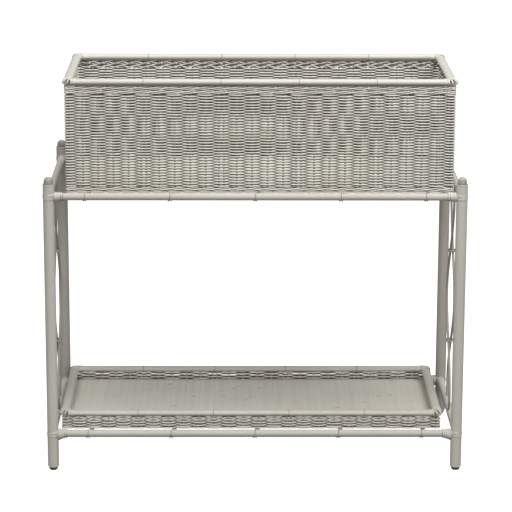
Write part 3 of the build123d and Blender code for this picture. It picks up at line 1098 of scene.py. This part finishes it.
def floor_weave(prefix, top):
    """A painted-over floor whose highest strands reach top."""
    half_x, half_y = half_lengths(prefix)
    inner_y = half_y - swing - strand_radius
    rows = [woven_strand(long_stakes, n % 2 == 0, floor_strand, 0.35 * mm, n * floor_pitch, dice,
                         rings=4, wobble=0.15 * mm) for n in range(floor_rows)]
    stack = applied(joined(rows), "ARRAY", use_relative_offset=False, use_constant_offset=True,
                    constant_offset_displace=(0, 0, floor_rows * floor_pitch),
                    count=math.floor(2 * inner_y / (floor_rows * floor_pitch)))
    depth = stack.dimensions.z
    centre = middle(f"{prefix}_posts")
    stack = place(stack, (centre.x - half_x, -depth / 2 + floor_strand, top - 0.35 * mm - floor_strand),
                  turn=(-quarter_turn, 0, 0))
    nothing_selected()
    bpy.ops.mesh.primitive_grid_add(x_subdivisions=120, y_subdivisions=48, size=2,
                                    location=(centre.x, 0, top - 0.45 * mm))
    skin = place(bpy.context.object, (0, 0, 0))
    only(skin)
    bpy.ops.object.mode_set(mode="EDIT")
    bpy.ops.transform.resize(value=(half_x - 4 * mm, inner_y, 1), center_override=(centre.x, 0, 0))
    bpy.ops.object.mode_set(mode="OBJECT")
    uneven(skin, 0.12 * mm, 12 * mm, "Z")
    applied(skin, "SOLIDIFY", thickness=1.6 * mm, offset=-1)
    ridges = []
    for k in range(1, len(long_stakes) - 1):
        ridge = stake((centre.x - half_x + long_stakes[k], 0), -inner_y, inner_y, 1.5 * mm, steps=12)
        ridges.append(place(ridge, (0, 0, 0)))
    laid = joined(ridges)
    laid = place(laid, (0, 0, top - 1.5 * mm), turn=(quarter_turn, 0, 0))
    return joined([stack, skin, laid])


# The floors take a lighter copy of the paint, as painted light.
floor_paint_look = painted("paint_on_floors", along="X", shade=1.16, streak=0.35, bump=0.3, rough=(0.4, 0.6))
planter_floor = floor_weave("planter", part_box("planter_floor")[1].z + 2.4 * mm)
finished(planter_floor, "planter_floor_weave", floor_paint_look, "painted_floor_weave", "planter",
         "planter_floor")
tray_floor = floor_weave("tray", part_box("tray_floor")[1].z + 2.4 * mm)
finished(tray_floor, "tray_floor_weave", floor_paint_look, "painted_floor_weave", "tray", "tray_floor")

# %% [markdown]
# ## Slits in the tray's floor
# Here and there a strand has lifted and left a short curved crack in the paint. A crack is a
# piece of a thin ring, cut out with two Bisects and laid half into the paint, painted nearly
# black as painted shade for the shadow inside the crack.
# Cutting real slots would need a far denser floor for marks a millimetre wide.

# %% Slits in the tray's floor


def slit(length, bow, width):
    """A short curved crack in the paint, cut from a ring of radius bow."""
    nothing_selected()
    bpy.ops.mesh.primitive_torus_add(major_segments=96, minor_segments=6, major_radius=bow,
                                     minor_radius=width / 2)
    half = length / 2 / bow
    bpy.ops.object.mode_set(mode="EDIT")
    for sign in (-1, 1):
        bpy.ops.mesh.select_all(action="SELECT")
        bpy.ops.mesh.bisect(plane_co=(0, 0, 0), plane_no=(sign * math.cos(half), -math.sin(half), 0),
                            use_fill=True, clear_outer=True)
    bpy.ops.object.mode_set(mode="OBJECT")
    return place(bpy.context.object, (0, -bow, 0), size=(1, 1, 0.5))


slits = []
floor_low, floor_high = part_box("tray_floor")
for n in range(46):
    crack = slit(dice.uniform(5, 12) * mm, dice.uniform(9, 20) * mm, dice.uniform(0.7, 1.2) * mm)
    flip = math.pi * dice.choice((0, 0, 0, 1))
    at = (dice.uniform(floor_low.x + 15 * mm, floor_high.x - 15 * mm),
          dice.uniform(floor_low.y + 12 * mm, floor_high.y - 12 * mm), floor_high.z + 2.0 * mm)
    slits.append(place(crack, at, turn=(0, 0, flip + dice.uniform(-0.35, 0.35))))
# The cracks are painted almost black: painted shade for the shadow inside them.
slit_shade_paint = painted("slit_shade_paint", along="X", shade=0.16)
finished(joined(slits), "tray_floor_slits", slit_shade_paint, "painted_floor_weave", "tray")

# %% [markdown]
# ## Braces, rungs and feet
# These CAD parts already have their true shape, so they only need their finish. The braces
# and the lashings where they cross are bare cane under the paint, and the braces' copy of it
# is darker, as painted shade. The rungs and the sticks under the boxes are plain dowels, and the
# feet are nail-on steel glides, scuffed dark. The domes on the leg cores take a darker copy of
# the paint, partly their own darker tone and partly painted shade.

# %% Finishes for the parts that stay


def worn_steel(name):
    """Dark steel, scuffed brighter in patches."""
    steel = bpy.data.materials.new(name)
    steel.use_nodes = True
    nodes, links = steel.node_tree.nodes, steel.node_tree.links
    shader = nodes["Principled BSDF"]
    shader.inputs["Metallic"].default_value = 0.7
    where = nodes.new("ShaderNodeTexCoord")
    scuffs = nodes.new("ShaderNodeTexNoise")
    scuffs.inputs["Scale"].default_value = 350
    scuffs.inputs["Detail"].default_value = 5
    links.new(where.outputs["Object"], scuffs.inputs["Vector"])
    tone = nodes.new("ShaderNodeMix")
    tone.data_type = "RGBA"
    tone.inputs["A"].default_value = (0.045, 0.042, 0.038, 1)
    tone.inputs["B"].default_value = (0.150, 0.142, 0.130, 1)
    links.new(scuffs.outputs["Fac"], tone.inputs["Factor"])
    links.new(tone.outputs["Result"], shader.inputs["Base Color"])
    sheen = nodes.new("ShaderNodeMapRange")
    sheen.inputs["To Min"].default_value = 0.35
    sheen.inputs["To Max"].default_value = 0.65
    links.new(scuffs.outputs["Fac"], sheen.inputs["Value"])
    links.new(sheen.outputs["Result"], shader.inputs["Roughness"])
    pits = nodes.new("ShaderNodeBump")
    pits.inputs["Strength"].default_value = 0.2
    pits.inputs["Distance"].default_value = 0.1 * mm
    links.new(scuffs.outputs["Fac"], pits.inputs["Height"])
    links.new(pits.outputs["Normal"], shader.inputs["Normal"])
    return steel


glide_steel = worn_steel("scuffed_steel")
# The domes: a darker copy of the paint, partly their own tone and partly painted shade.
dome_paint = painted("paint_on_domes", along="Z", shade=0.6, streak=0.9, under=0.5)
# The braces: a darker copy of the paint, painted shade for the shade they stand in.
brace_paint = painted("paint_on_braces", along="Z", shade=0.72, under=0.5)
for name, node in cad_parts.items():
    if node.hide_render:
        continue
    along = "Z" if "leg" in name or "brace" in name else "Y" if "rung" in name else "X"
    node.data.materials.clear()
    paint = dome_paint if name.startswith("leg_core") else brace_paint if "brace" in name else paints[along]
    if name == "foot_glides":
        paint = glide_steel
    node.data.materials.append(paint)
    print("kept from CAD:", name, "in", paint.name)
